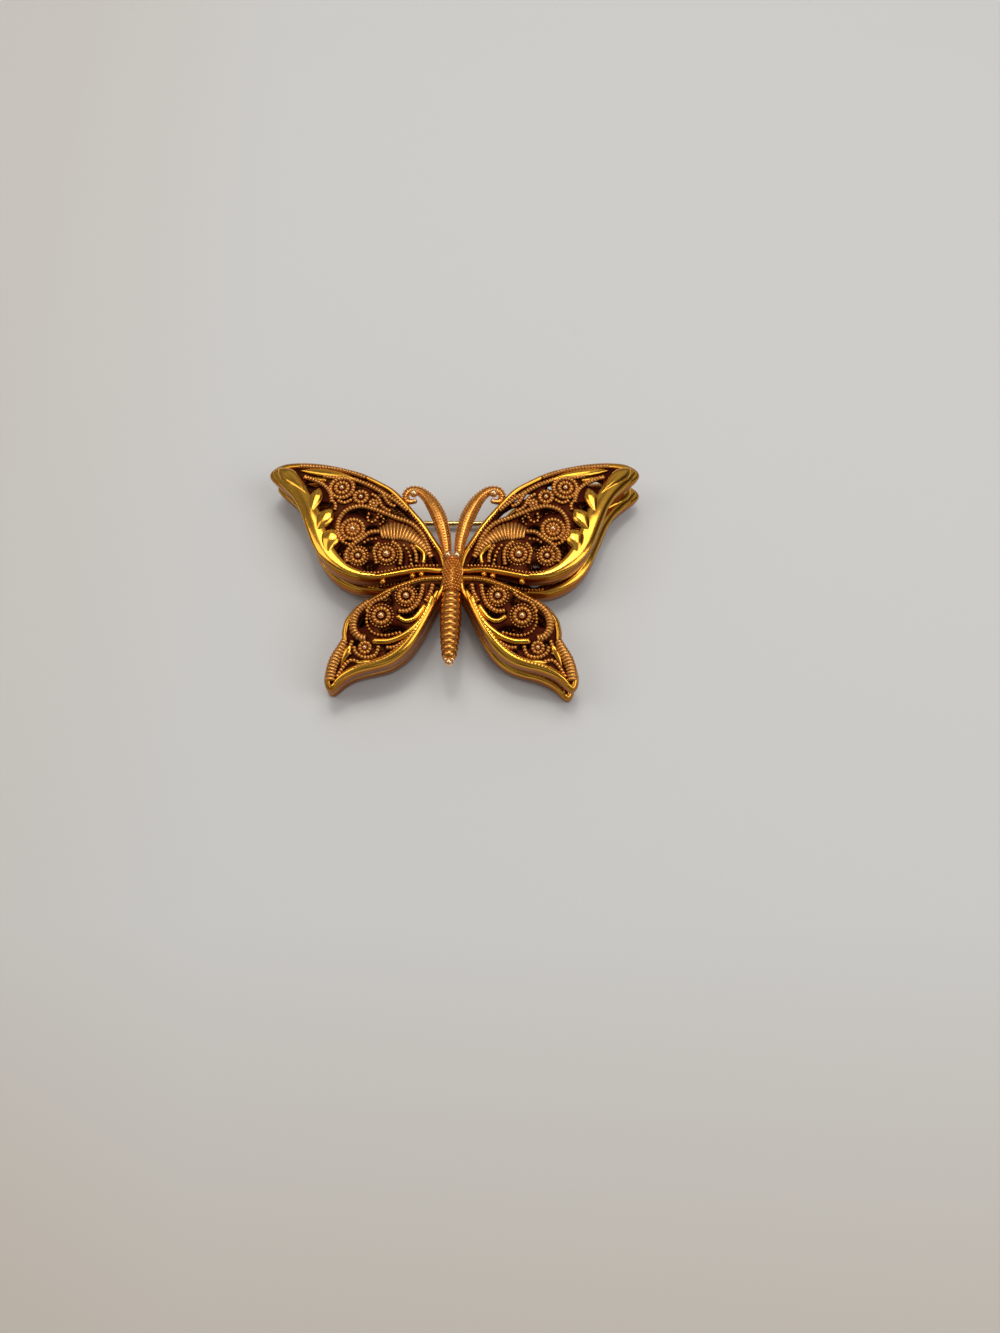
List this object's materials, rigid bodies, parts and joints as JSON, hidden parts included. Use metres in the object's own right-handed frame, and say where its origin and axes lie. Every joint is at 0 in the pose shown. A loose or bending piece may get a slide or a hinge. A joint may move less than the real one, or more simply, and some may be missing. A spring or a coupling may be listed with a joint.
{
  "type": "insect brooch",
  "caption": "Butterfly brooch of two pierced, domed metal castings joined by a peg, with a pin behind.",
  "frame": {"origin": "on the table plane under the middle of the brooch: on the body's axis, halfway between the tops of the wings and the tails, with the pin blocks' feet and the tails at z = 0", "axes": "+X to the right wing, +Y from the tails towards the antennae, +Z out of the front, away from the wearer"},
  "size_m": [0.0513, 0.0338, 0.0089],
  "materials": {
    "gold_front": "gold-tone plate, polished borders, satin filigree",
    "gold_back": "gold-tone plate, satin",
    "pin_metal": "pale gold-tone plate, polished"
  },
  "bodies": {
    "root": {"front_butterfly": "gold_front", "back_butterfly": "gold_back", "pin_clasp": "pin_metal"}
  },
  "joints": []
}
